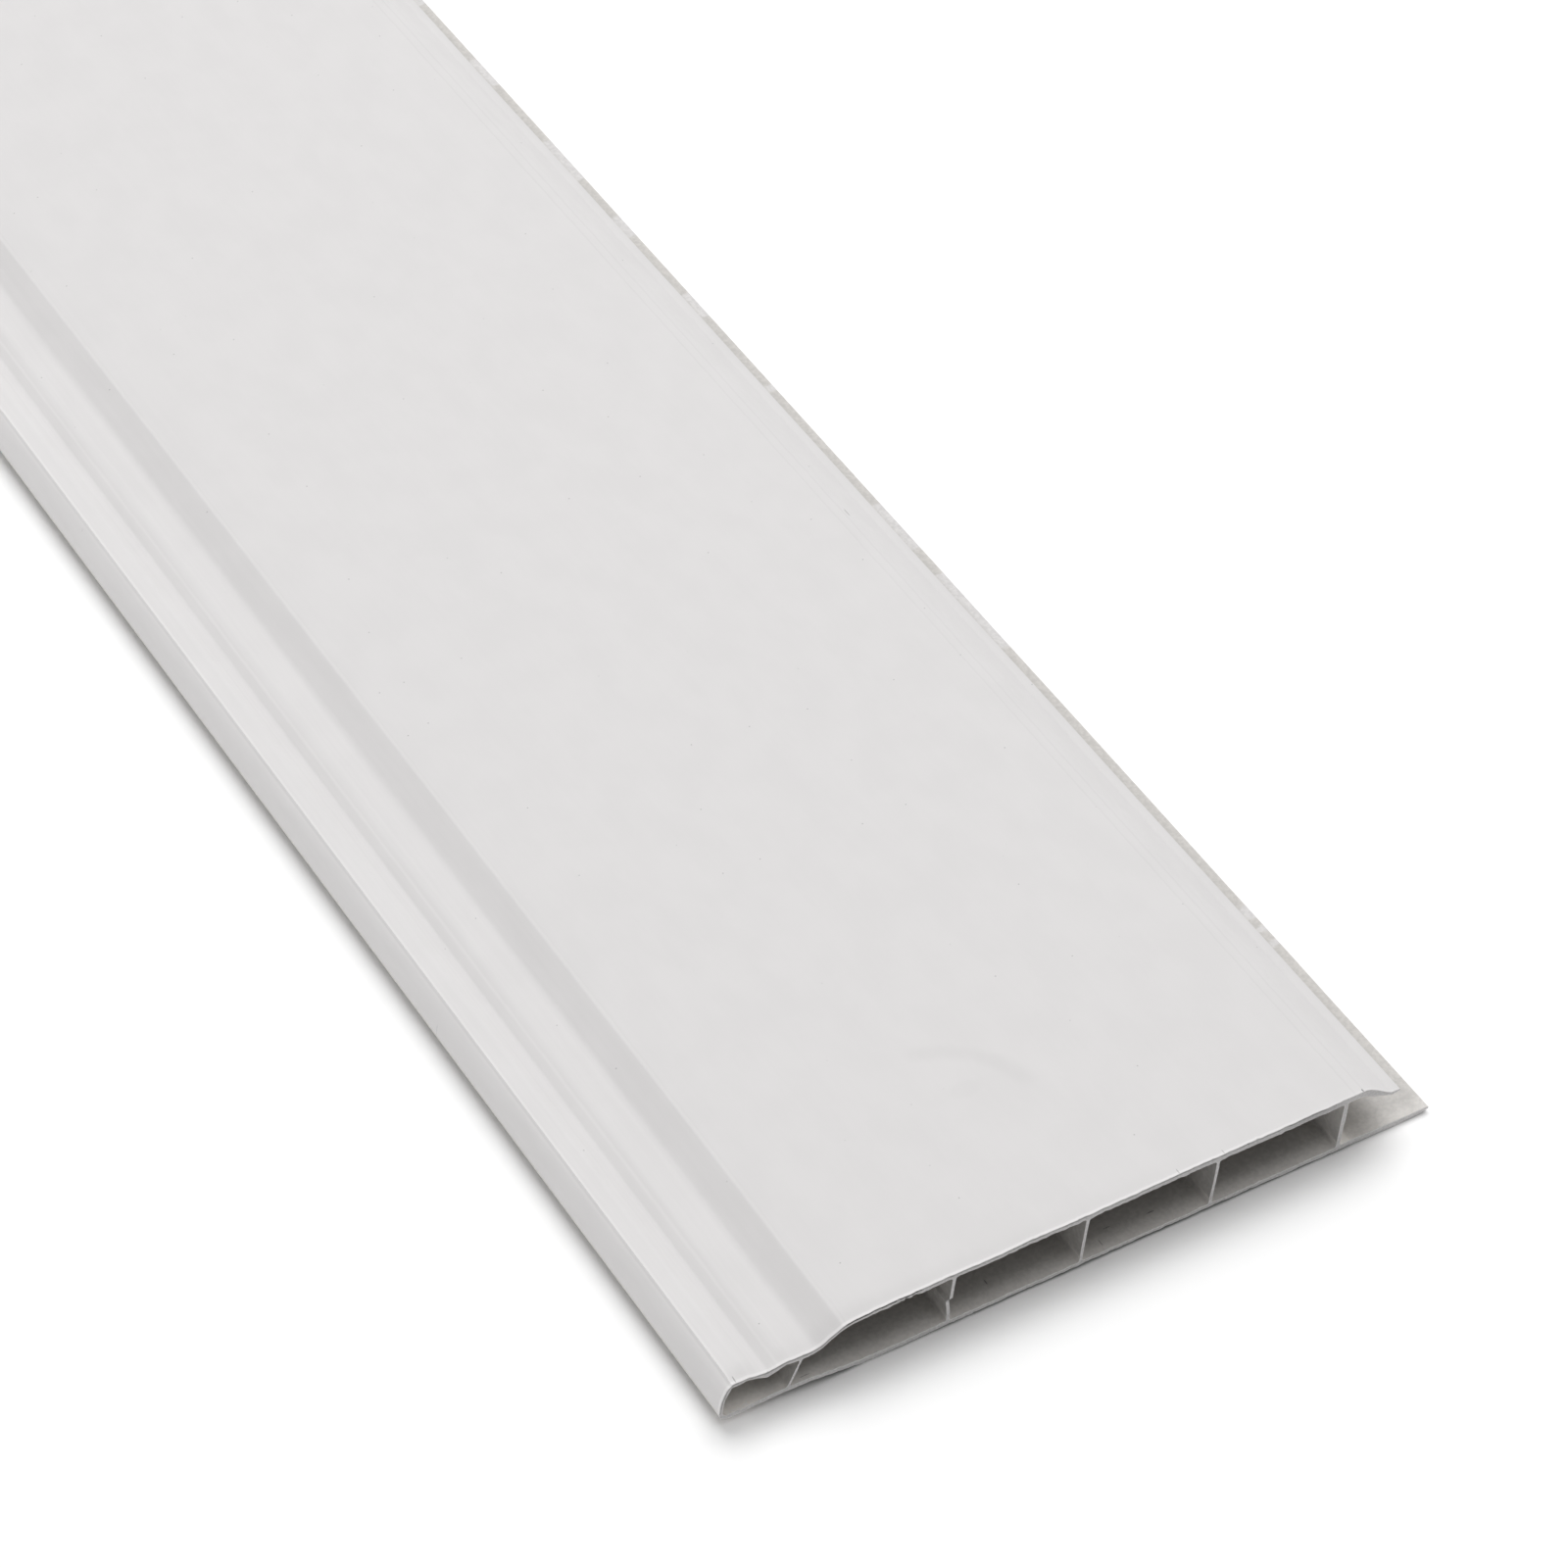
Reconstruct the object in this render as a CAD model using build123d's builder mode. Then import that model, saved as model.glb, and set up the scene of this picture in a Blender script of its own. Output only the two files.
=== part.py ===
from build123d import *
import os

# Hollow soffit board: one white rigid PVC extrusion, sawn to length, lying on its back.
# Millimetres. +X runs across it from the tongue's nose to the nailing flange, +Y along it away
# from the sawn end that shows, +Z out of its show face. The origin is under its middle.
# The section is drawn with x from the nose and z from the flat back.

# Overall sizes
board_length = 2500.0
cover_width = 100.0
flange_reach = 14.0
board_thickness = 10.0

# Skins and webs
face_skin = 1.0
back_skin = 0.9
flange_thickness = 1.0
nose_wall = 0.5
tongue_floor = 0.7
web_thickness = 0.5
groove_web_thickness = 0.7
web_fillet = 0.35

# What one board keeps clear of the next
joint_clearance = 0.1

# Tongue: a rounded nose, a sharp crease, then a soft bump, a valley and a low ridge
nose_radius = 1.1
nose_flat_top = 2.6
crease_x, crease_z = 1.9, 7.7
bump_x, bump_z, bump_radius = 4.5, 7.95, 1.8
valley_x, valley_z, valley_radius = 7.4, 6.7, 1.0
ridge_x, ridge_z, ridge_radius = 10.2, 7.5, 3.0

# Its underside, which passes over the next board's flange and then ramps down to the back
ramp_clearance = 0.3
underside_ramp, ramp_radius = 7.7, 3.0

# Recess strip, which shows as the groove between two laid boards, the slope up from it and the
# last slight rise to the panel
recess_run, recess_z, recess_radius = 1.3, 7.3, 2.0
slope_foot_x, slope_foot_radius = 14.8, 3.0
slope_head_x, slope_head_z, slope_head_radius = 19.2, 9.7, 2.0
panel_x, panel_radius = 24.0, 6.0

# Lip, which hooks into the next board's valley
lip_bend_run = 3.5
lip_bend_radius = 3.5
lip_hook_run = 7.2
lip_hook_height = 7.35
lip_hook_radius = 1.6
lip_reach = 8.6
lip_tip_thickness = 0.25

# Flange edge, thinned from below
flange_taper = 2.6
flange_taper_radius = 3.0
flange_edge_thickness = 0.45
flange_edge_radius = 0.15

# Webs: each leans the same way, and the one inside the tongue is thinner and leans most. The last
# closes the groove's back, set back from the place of the next board's nose
face_web_count = 4
first_web_x = 35.3
groove_setback = 1.4
web_lean = 1.15
tongue_web_x = 9.7
tongue_web_lean = 4.6
tongue_web_thickness = 0.4

# The first face web is torn across for a short way in from the sawn end
tear_height = 5.0
tear_gap = 0.35
tear_width = 1.0
tear_depth = 9.0

overall_width = cover_width + flange_reach
tongue_rise = flange_thickness + joint_clearance
ramp_start = flange_reach + ramp_clearance
web_pitch = (cover_width - groove_setback - first_web_x) / (face_web_count - 1)

# The lip's underside runs alongside the tongue that it hooks over, one clearance away
hook_fall = (bump_z - valley_z) / (valley_x - bump_x)
ridge_rise = (ridge_z - valley_z) / (ridge_x - valley_x)
groove_ceiling = board_thickness - face_skin
lip_root_x = cover_width + bump_x - (groove_ceiling - bump_z - joint_clearance) / hook_fall
lip_tip_under = valley_z + ridge_rise * (lip_reach - valley_x) + joint_clearance

# The show face from the crease to the lip's bend, as corners and the radius that rounds each
face_corners = [
    (crease_x, crease_z),
    (bump_x, bump_z),
    (valley_x, valley_z),
    (ridge_x, ridge_z),
    (ridge_x + recess_run, recess_z),
    (slope_foot_x, recess_z),
    (slope_head_x, slope_head_z),
    (panel_x, board_thickness),
]
face_radii = [
    bump_radius,
    valley_radius,
    ridge_radius,
    recess_radius,
    slope_foot_radius,
    slope_head_radius,
    panel_radius,
]


def web_side(foot_x, lean, offset):
    """One side of a web, from the level of the back up to the level of the face."""
    return (foot_x + offset, 0), (foot_x + lean + offset, board_thickness)


def height_on(side, z):
    """The point at height z on one side of a web."""
    (foot_x, _), (head_x, _) = side
    return foot_x + (head_x - foot_x) * z / board_thickness, z


# Every web as the place of its middle line on the back, its lean and half its thickness
webs = [(tongue_web_x, tongue_web_lean, tongue_web_thickness / 2)]
for number in range(face_web_count):
    is_last = number == face_web_count - 1
    thickness = groove_web_thickness if is_last else web_thickness
    webs.append((first_web_x + number * web_pitch, web_lean, thickness / 2))

groove_side = web_side(*webs[-1])
beyond_nose = ((-nose_wall, 0), (-nose_wall, board_thickness))
sawn_end = Plane(
    origin=(-overall_width / 2, -board_length / 2, 0), x_dir=(1, 0, 0), z_dir=(0, -1, 0)
)

# The whole hollow inside the skins, from the nose to the groove, before the webs divide it
with BuildSketch() as hollow:
    with BuildLine():
        floor_z = tongue_rise + tongue_floor
        ceiling = FilletPolyline(
            *[(x, z - face_skin) for x, z in face_corners],
            (cover_width, groove_ceiling),
            radius=face_radii,
        )
        nose_inside = TangentArc((nose_wall, nose_flat_top), ceiling @ 0, tangent=(0, 1))
        FilletPolyline(
            nose_inside @ 0,
            (nose_wall, floor_z),
            (ramp_start, floor_z),
            (ramp_start + underside_ramp, back_skin),
            (cover_width, back_skin),
            ceiling @ 1,
            radius=[nose_radius - nose_wall, ramp_radius, ramp_radius, 0],
        )
    make_face()

# The cells: what is left of the hollow between each two webs, with rounded corners
with BuildSketch() as cells:
    for number, right_web in enumerate(webs):
        foot_x, lean, half = right_web
        right_side = web_side(foot_x, lean, -half)
        left_side = web_side(*webs[number - 1]) if number else beyond_nose
        with BuildSketch(mode=Mode.PRIVATE) as cell:
            add(hollow.sketch)
            with BuildLine():
                Polyline(*left_side, *reversed(right_side), close=True)
            make_face(mode=Mode.INTERSECT)
            # Shrinking the cell and growing it back rounds its corners
            offset(amount=-web_fillet, kind=Kind.INTERSECTION, mode=Mode.REPLACE)
            offset(amount=web_fillet, mode=Mode.REPLACE)
        add(cell.sketch)

with BuildPart() as board:
    with BuildSketch(sawn_end):
        with BuildLine():
            nose = TangentArc((0, nose_flat_top), (crease_x, crease_z), tangent=(0, 1))
            face = FilletPolyline(
                *face_corners,
                (cover_width + lip_bend_run, board_thickness),
                (cover_width + lip_hook_run, lip_hook_height),
                (cover_width + lip_reach, lip_tip_under + lip_tip_thickness),
                radius=face_radii + [lip_bend_radius, lip_hook_radius],
            )
            groove = FilletPolyline(
                face @ 1,
                (cover_width + lip_reach, lip_tip_under),
                (cover_width + valley_x, valley_z + joint_clearance),
                (lip_root_x, groove_ceiling),
                height_on(groove_side, groove_ceiling),
                height_on(groove_side, flange_thickness),
                (overall_width, flange_thickness),
                (overall_width, flange_thickness - flange_edge_thickness),
                (overall_width - flange_taper, 0),
                (ramp_start + underside_ramp, 0),
                (ramp_start, tongue_rise),
                (0, tongue_rise),
                nose @ 0,
                radius=[
                    0,
                    valley_radius,
                    lip_bend_radius,
                    web_fillet,
                    web_fillet,
                    flange_edge_radius,
                    flange_edge_radius,
                    flange_taper_radius,
                    ramp_radius,
                    ramp_radius,
                    nose_radius,
                ],
            )
        make_face()
        add(cells.sketch, mode=Mode.SUBTRACT)
    extrude(amount=-board_length)

    # The tear, a narrow slot right through the first face web
    torn_foot, torn_lean, _ = webs[1]
    with BuildSketch(sawn_end):
        with Locations((torn_foot + torn_lean * tear_height / board_thickness, tear_height)):
            Rectangle(tear_width, tear_gap)
    extrude(amount=-tear_depth, mode=Mode.SUBTRACT)

board.part.label = "soffit_board"
os.makedirs("parts", exist_ok=True)
export_step(board.part, "parts/soffit_board.step")
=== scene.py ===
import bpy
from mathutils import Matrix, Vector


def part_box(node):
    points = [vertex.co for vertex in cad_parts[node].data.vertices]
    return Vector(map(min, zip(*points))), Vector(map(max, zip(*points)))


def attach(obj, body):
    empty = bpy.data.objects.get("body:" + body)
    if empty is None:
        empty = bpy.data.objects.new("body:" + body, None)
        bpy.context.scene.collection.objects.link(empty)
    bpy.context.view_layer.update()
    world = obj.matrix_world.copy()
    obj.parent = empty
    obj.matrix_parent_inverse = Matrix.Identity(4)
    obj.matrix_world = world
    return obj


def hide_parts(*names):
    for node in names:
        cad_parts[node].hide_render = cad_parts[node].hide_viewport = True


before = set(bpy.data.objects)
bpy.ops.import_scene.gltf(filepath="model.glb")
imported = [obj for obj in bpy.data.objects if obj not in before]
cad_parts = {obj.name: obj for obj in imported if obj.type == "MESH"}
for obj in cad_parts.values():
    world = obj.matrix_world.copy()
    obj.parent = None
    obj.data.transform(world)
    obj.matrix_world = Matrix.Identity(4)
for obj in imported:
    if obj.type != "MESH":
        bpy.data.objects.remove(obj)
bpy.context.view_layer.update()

import math

import bpy
import numpy as np
from mathutils import Matrix, Vector, noise
from mathutils.geometry import delaunay_2d_cdt

# A white PVC soffit board, sawn at both ends, lying on its back. Blender and the frame are in metres.
# The board's section is drawn in millimetres, with x from the tongue's nose and z from the flat
# back, and "along" is the distance in millimetres from the sawn end that the camera looks at. That
# end is the near end, and the other is the far end.
MM = 0.001
low_corner, high_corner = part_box("soffit_board")
overall_width, board_length, board_thickness = (high_corner - low_corner) / MM

# Section: the same sizes as the CAD solid's
cover_width = 100.0
face_skin, back_skin, flange_thickness = 1.0, 0.9, 1.0
nose_wall, tongue_floor = 0.5, 0.7
web_thickness, groove_web_thickness, web_fillet = 0.5, 0.7, 0.35
joint_clearance, ramp_clearance = 0.1, 0.3
nose_radius, nose_flat_top = 1.1, 2.6
crease = (1.9, 7.7)
bump, bump_radius = (4.5, 7.95), 1.8
valley, valley_radius = (7.4, 6.7), 1.0
ridge, ridge_radius = (10.2, 7.5), 3.0
underside_ramp, ramp_radius = 7.7, 3.0
recess, recess_radius = (11.5, 7.3), 2.0
slope_foot, slope_foot_radius = (14.8, 7.3), 3.0
slope_head, slope_head_radius = (19.2, 9.7), 2.0
panel_x, panel_radius = 24.0, 6.0
lip_bend_run, lip_bend_radius = 3.5, 3.5
lip_hook_run, lip_hook_height, lip_hook_radius = 7.2, 7.35, 1.6
lip_reach, lip_tip_thickness = 8.6, 0.25
flange_taper, flange_taper_radius = 2.6, 3.0
flange_edge_thickness, flange_edge_radius = 0.45, 0.15
face_web_count, first_web_x, groove_setback, web_lean = 4, 35.3, 1.4, 1.15
tongue_web_x, tongue_web_lean, tongue_web_thickness = 9.7, 4.6, 0.4

tongue_rise = flange_thickness + joint_clearance
ramp_start = overall_width - cover_width + ramp_clearance
ramp_end = ramp_start + underside_ramp
groove_ceiling = board_thickness - face_skin
hook_fall = (bump[1] - valley[1]) / (valley[0] - bump[0])
ridge_rise = (ridge[1] - valley[1]) / (ridge[0] - valley[0])
lip_root_x = cover_width + bump[0] - (groove_ceiling - bump[1] - joint_clearance) / hook_fall
lip_tip_under = valley[1] + ridge_rise * (lip_reach - valley[0]) + joint_clearance

# The show face from the crease to the panel, as corners and the radius that rounds each after the first
face_corners = [crease, bump, valley, ridge, recess, slope_foot, slope_head, (panel_x, board_thickness)]
face_radii = [bump_radius, valley_radius, ridge_radius, recess_radius]
face_radii += [slope_foot_radius, slope_head_radius, panel_radius]

# Fineness of the mesh: fine near a sawn end, coarse along the rest
ARC_STEP = math.radians(9)
COARSE_STEP = 2.6
FINE_STEP = 0.4
FINE_STATIONS = [0, 0.12, 0.3, 0.6, 1.1, 2.0, 3.2]
COARSE_STATIONS = [4.8, 6.8, 9.0, 12, 16, 21, 27, 34]
MIDDLE_STEP = 20.0
CAP_STEP, CAP_SCATTER, CAP_MARGIN, CAP_SEEDS = 0.25, 0.3, 0.1, (11, 12)
CORNER_SHARES = (0.25, 0.5, 0.75)
SHARP_ANGLE = math.radians(32)
SAME_POINT = 1e-4
NO_LENGTH_SQUARED = 1e-12
WELD_DISTANCE = 1e-6

# The web of this number is torn across at the near end. Both its stubs are bent aside, the lower
# one more.
torn_web = 1
tear_low, tear_high = 4.75, 5.2
tear_depth = 9.0
lower_stub_shift = 0.62
upper_stub_shift = 0.12

# The sawn face lies inwards from the board's end, by shares of saw_depth for its marks and for a
# slower drag, and by chips where grit is over its level. A patch above the slope's cell is torn
# deeper, by a lower level of its own.
# Each noise has its waves to the millimetre across and up, and its seeds at the near and far end.
saw_depth = 0.26
mark_share, mark_waves, mark_seeds = 0.35, (0.9, 0.25), (3, 30)
drag_share, drag_waves, drag_seeds = 0.4, (0.16, 0.16), (9, 36)
chip_depth, grit_waves, grit_seeds, grit_level = 0.22, (2.6, 2.6), (15, 42), 0.25
lip_cut_cleaner = 0.8
torn_patch, torn_patch_depth, torn_patch_level = (26.8, 31.2), 0.5, -0.1

# The cut's lower edge is broken upwards and its top edge folded down, by these heights from place
# to place across the board, and a burr hangs into the cells
edge_breaks = [(0, 0), (24, 0), (45, 0.22), (70, 0.28), (96, 0.12), (overall_width, 0.08)]
edge_break_full, edge_break_run, edge_break_raggedness = 0.8, 2.6, 0.5
edge_break_waves, edge_break_row, edge_break_seeds = 0.35, 0.3, (8, 9)
edge_folds = [(1.9, 0.3), (4, 0.5), (10, 0.36), (19, 0.3), (50, 0.18), (62, 0.15), (76, 0.05), (90, 0)]
edge_fold_run = 2.6
burr_width = 0.32
cell_burr, cell_burr_waves, cell_burr_row, cell_burr_seeds = 0.22, 1.1, 0.7, (5, 6)

# The die left the face just under its nominal height, and the slope and the two edges unsteady
face_drop = 0.05
slope_wander, slope_wander_length, slope_wander_seed = 0.16, 38, 1.5
edge_wander, edge_wander_length = 0.1, 20
flange_wander_seed, flange_wander_offset, flange_wander_run = 2.5, 0.2, 3
lip_wander_seed = 4.5

# Fine lines along the show face: place, half width, depth, and how much lighter they are painted, as painted
# highlights and painted shade along the crease, the slope's head and the lines
face_lines = [
    (1.72, 0.16, 0.05, -0.07),
    (2.12, 0.24, 0.0, 0.05),
    (5.75, 0.3, 0.01, -0.02),
    (9.05, 0.35, 0.0, 0.06),
    (19.15, 0.32, 0.0, 0.07),
    (19.6, 0.2, 0.01, -0.02),
    (101.1, 0.22, 0.02, -0.045),
    (102.5, 0.22, 0.025, -0.05),
]
# How much lighter the show face is painted, from place to place: painted light on the nose and the tongue's
# bump, and painted shade on the lip's bend
face_tints = [(0, 0.12), (1.9, 0.12), (2.1, 0.05), (6.4, 0.04), (7.4, 0), (104, 0), (106, -0.02), (107.6, 0)]

# Materials
PVC_IOR = 1.53
SKIN_ROUGHNESS, SAWN_ROUGHNESS = 0.6, 0.8
FACE_COLOUR = (0.722, 0.708, 0.706, 1)
BODY_COLOUR = (0.62, 0.6, 0.575, 1)
SAWN_COLOUR = (0.76, 0.745, 0.74)
BURR_COLOUR = (0.76, 0.75, 0.745, 1)

# Unevenness: the noise's waves to the millimetre across, along and up, and its detail
MOTTLE_NOISE = ((0.16, 0.1, 0.5), 4.0)
SCUFF_NOISE = ((1.6, 1.6, 1.6), 5.0)
STREAK_NOISE = ((1.2, 0.03, 0.0), 3.0)
PATCH_NOISE, FURTHER_PATCH_NOISE = ((0.9, 1.3, 0), 3.0), ((0, 0.07, 0), 1.0)
SAWN_NOISE, SEAM_NOISE = ((2.6, 0.5, 2.6), 3.0), ((0.5, 0.0, 0.5), 2.0)
# The stretch of a noise's values that makes the whole difference
NOISE_SPAN, STREAK_SPAN, SEAM_SPAN = (0.3, 0.7), (0.35, 0.65), (0.35, 0.6)

# How much lighter or darker each trace makes the skin, and where it is
MOTTLE, SCUFF, STREAK, STREAK_ON_PANEL = 0.012, 0.07, 0.009, 0.25
# Painted highlight: the show face is painted lighter along a sawn end, over the saw's burr, and less of it
# towards the lip
BURR_HIGHLIGHT, BURR_HIGHLIGHT_LEFT, BURR_FADES = 0.12, 0.2, (84.0, 94.0)
# Painted light and shade on hidden surfaces: light pooled on the cells' floors at the near end, shade on the
# walls and deeper inside, light through the thin nose and on the groove's back
OPENING_LIGHT_REACH, OPENING_LIGHT = 3.4, 0.5
OPENING_LIGHT_LEVELS, OPENING_LIGHT_SOFT = (0.75 * back_skin, 2.0), 0.3 * back_skin
FLANGE_OPENING_LIGHT, FLANGE_OPENING_LIGHT_FADES = 0.4, (cover_width, cover_width + 3)
WALL_SHADE, WALL_FADES = 0.1, (1.5, 3.5)
THIN_NOSE_GLOW, INSIDE_SHADE, GROOVE_BACK_LIGHT = 0.25, 0.12, 0.35
GROOVE_FADES = (cover_width - 1.2, cover_width)
GROOVE_BACK, GROOVE_BACK_SOFT = (cover_width - groove_setback, cover_width + 0.8), 0.3
SWARF_LEVEL = (2.0, 2.2)
ON_FLANGE = (1.5 * flange_thickness, 2 * flange_thickness)
# Darker across the flange's bare strip: a stain, with painted shade darkest beside the lip, and a painted
# highlight along its rim
STAIN_AND_SHADE_DARKER, STAIN_AND_SHADE_ENDS = 0.13, (overall_width - 2.2, overall_width - 0.4)
RIM_HIGHLIGHT, RIM_HIGHLIGHT_STARTS = 0.12, overall_width - 0.35
PATCH_ROUGHNESS, PATCH_SOFT, PATCH_SHARE = 0.8, 0.35, 0.85
PATCH_STARTS = (overall_width - 2.1, overall_width - 1.0)
FURTHER_PATCH_LEVELS, FURTHER_PATCH_GAPS = (0.56, 0.58), (12, 13)
PORE_SPACING, PORE_RADIUS, PORE_STRENGTH = 12.0, 0.11, 0.35
PORE_EDGE, PORE_CHOICE = (0.4, 1.6), (0.4, 0.7)
SMUDGE_CENTRE, SMUDGE_RADIUS, SMUDGE_STRENGTH = (49.0, 23.0), 14.6, 0.045
SMUDGE_WIDTH, SMUDGE_X_FADES, SMUDGE_ALONG_FADES = (0.2, 2.2), (0.5, 5), (0, 4)

# The same for the sawn face. Depth is how far under the show face, and rim how far from any edge.
GRAIN_TONES, RAGGED = (0.92, 1.08), (-0.04, 0.06)
# Painted highlight: the sawn face is painted lighter close to its edges
EDGE_HIGHLIGHT, EDGE_HIGHLIGHT_FADES = 1.15, (0.04, 0.22)
ABOVE_BACK_DARKER = 0.86
LIP_SIDE_DARKER, LIP_SIDE_SPAN, LIP_SIDE_SOFT, LIP_SIDE_LEVEL = 0.2, (90.0, 98.0), 3.0, (7.0, 8.0)
# Painted shade of a crack and of a seam just under the skin's rim
CRACK_DEPTHS, CRACK_DEPTH_SOFT = (0.12, 0.34), 0.06
CRACK_SPAN, CRACK_SOFT, CRACK_REACH, CRACK_GRAIN = (19.4, 31.0), 0.6, (4.0, 8.0), (0.28, 0.4)
SEAM_SHADE, SEAM_LEAST, SEAM_DEPTH_SOFT = 0.5, 0.25, 0.08
SEAM_FADES, SEAM_LEFT = (94, 101), 0.1
BURR_LAYER, LAYER_WITHOUT_BURR = (0.04, 0.1), 0.9

# How far out a mark starts to fade and ends, as shares of its half width and half length
HAIR_EDGE = (0.5, 1.0)
# Marks on the face: place across and along, half width, half length and strength
MARKS = [
    (102.4, 0.45, 0.14, 0.4, 0.75),
    (103.0, 141.0, 0.14, 1.2, 0.3),
    (72.15, 0.6, 0.11, 0.7, 0.35),
    (79.45, 0.5, 0.11, 0.6, 0.3),
    (2.6, 0.7, 0.12, 0.7, 0.45),
    (55.2, 28.3, 3.0, 2.0, 0.02),
]
# Dark threads of swarf that lie on the floors of the cells, given alike
SWARF = [
    (13.4, 0.8, 1.0, 0.13, 0.45),
    (43.4, 3.4, 0.12, 0.6, 0.4),
    (60.7, 1.6, 0.13, 0.8, 0.4),
    (62.9, 3.5, 0.7, 0.12, 0.3),
    (69.6, 2.9, 0.8, 0.13, 0.4),
]
# Stretches along the flange's bare strip that are lighter, without the stain and its painted shade
PATCHES = [
    (37.4, 38.6), (40.6, 41.8), (43.6, 46.4), (111.2, 130.6), (137.4, 149.6), (181.6, 183.2),
    (203.4, 210.2), (227.8, 233.8), (245.4, 257.6), (275.8, 284.0),
]

# Floor: its colour, how much whiter the camera sees it, and how much light is left close to the
# board, where the floor is hidden from most of the light, between these places across
FLOOR_SIZE = 40.0
FLOOR_COLOUR, FLOOR_GAIN = 0.9, 0.27
CONTACT_REACH, CONTACT_OPENNESS = 5.0, (0.48, 0.7, 1.0)
CONTACT_DARKEST, CONTACT_HALFWAY = 0.3, 0.85
CONTACT_STARTS, CONTACT_ENDS = (3, 26), (98, overall_width)

# Lights: name, power, size, place and aim, and the even fill from all round
SOFTBOXES = [
    ("key", 117, (3.4, 3.6), (1.25, 0.6, 3.0), (0.6, 0.1, 0)),
    ("front", 10, (2.4, 1.0), (0.5, -2.2, 2.9), (0.2, -1.5, 0)),
    ("left", 11, (2.0, 0.5), (-1.9, -0.1, 0.45), (0, -0.8, 0)),
]
FILL = 0.25

# The photograph's view: the point of the face at the image's centre, and the way to it
AIM = (7.2 * MM, -1156.5 * MM, 10 * MM)
DISTANCE = 824.2 * MM
HEADING = math.radians(30.188)
ELEVATION = math.radians(43.598)
LENS = 129.83
SENSOR = 36.0


def list_webs():
    """Every web, as the place of its middle line on the back, its lean and half its thickness."""
    pitch = (cover_width - groove_setback - first_web_x) / (face_web_count - 1)
    found = [(tongue_web_x, tongue_web_lean, tongue_web_thickness / 2)]
    for number in range(face_web_count):
        is_last = number == face_web_count - 1
        thickness = groove_web_thickness if is_last else web_thickness
        found.append((first_web_x + number * pitch, web_lean, thickness / 2))
    return found


webs = list_webs()


def flat(x, z):
    """A point of the section."""
    return Vector((x, z))


def rounded(corners, radii):
    """A line through the corners. Each one between the ends is rounded to its radius."""
    corners = [flat(*corner) for corner in corners]
    line = [corners[0]]
    for before, corner, after, radius in zip(corners, corners[1:], corners[2:], radii):
        back, onward = (before - corner).normalized(), (after - corner).normalized()
        half_angle = back.angle(onward) / 2
        start = corner + back * radius / math.tan(half_angle)
        centre = corner + (back + onward).normalized() * radius / math.sin(half_angle)
        turn = math.copysign(math.pi - 2 * half_angle, -back.cross(onward))
        steps = math.ceil(abs(turn) / ARC_STEP) if radius else 0
        for step in range(steps + 1):
            spin = Matrix.Rotation(turn * step / max(steps, 1), 2)
            line.append(centre + spin @ (start - centre))
    return line + [corners[-1]]


def tangent_arc(foot, head):
    """An arc that leaves the foot straight up and ends at the head, to the foot's right."""
    foot, head = flat(*foot), flat(*head)
    reach = head - foot
    radius = reach.length_squared / (2 * reach.x)
    turn = math.asin(reach.y / radius)
    steps = math.ceil(turn / ARC_STEP)
    angles = [turn * step / steps for step in range(steps + 1)]
    return [foot + radius * flat(1 - math.cos(angle), math.sin(angle)) for angle in angles]


def on_web(web, side, z):
    """The point at height z on a web's left side, -1, or right side, 1."""
    foot_x, lean, half = web
    return flat(foot_x + side * half + lean * z / board_thickness, z)


def stretch(line, left_web, right_web):
    """The part of a line that runs between two webs. No left web means from the line's start."""
    for web, side in ((left_web, 1), (right_web, -1)):
        if web is None:
            continue
        clear = [side * (point.x - on_web(web, side, point.y).x) for point in line]
        kept = []
        for start, end, at_start, at_end in zip(line, line[1:], clear, clear[1:]):
            if at_start >= 0:
                kept.append(start)
            if at_start * at_end < 0:
                kept.append(start.lerp(end, at_start / (at_start - at_end)))
        line = kept + [line[-1]] if clear[-1] >= 0 else kept
    return line


def shortened(line, length):
    """A line without its last stretch of that length."""
    kept = list(line)
    while len(kept) > 2 and (kept[-1] - kept[-2]).length <= length:
        length -= (kept[-1] - kept[-2]).length
        kept.pop()
    return kept[:-1] + [kept[-1] + (kept[-2] - kept[-1]).normalized() * length]


def with_places(line, places):
    """A line that runs towards +x, with a point added at each of the places."""
    for place in places:
        after = next(n for n, point in enumerate(line) if point.x > place)
        before, onward = line[after - 1], line[after]
        share = (place - before.x) / (onward.x - before.x)
        line.insert(after, before.lerp(onward, share))
    return line


def shown(point):
    """A point of the show face, with its whiteness, 1, and how much lighter it is painted than the rest, for
    painted light and shade.
    """
    places, tints = zip(*face_tints)
    tint = float(np.interp(point.x, places, tints))
    # Painted highlights and painted shade along the fine lines
    for x, half_width, _, painted_lighter in face_lines:
        tint += painted_lighter * max(0, 1 - abs(point.x - x) / half_width)
    return Vector((point.x, point.y, 1, tint))


def hidden(point):
    """A point of any other surface."""
    return Vector((point.x, point.y, 0, 0))


def ring(sides, radii):
    """A closed loop from lines laid end to end. The corner at each line's end is eased to its radius."""
    following = sides[1:] + sides[:1]
    reaches = [
        radius * math.tan((side[-1] - side[-2]).angle(after[1] - after[0]) / 2)
        for side, after, radius in zip(sides, following, radii)
    ]
    loop = []
    for side, after, reach, reach_before in zip(sides, following, reaches, reaches[-1:] + reaches):
        line = shortened(shortened(side, reach)[::-1], reach_before)[::-1]
        onward = shortened(after[::-1], reach)[-1]
        corner = side[-1]
        loop += line
        for share in CORNER_SHARES:
            loop.append(line[-1].lerp(corner, share).lerp(corner.lerp(onward, share), share))
    return [p for p, q in zip(loop, loop[1:] + loop[:1]) if (p - q).length > SAME_POINT]


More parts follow.
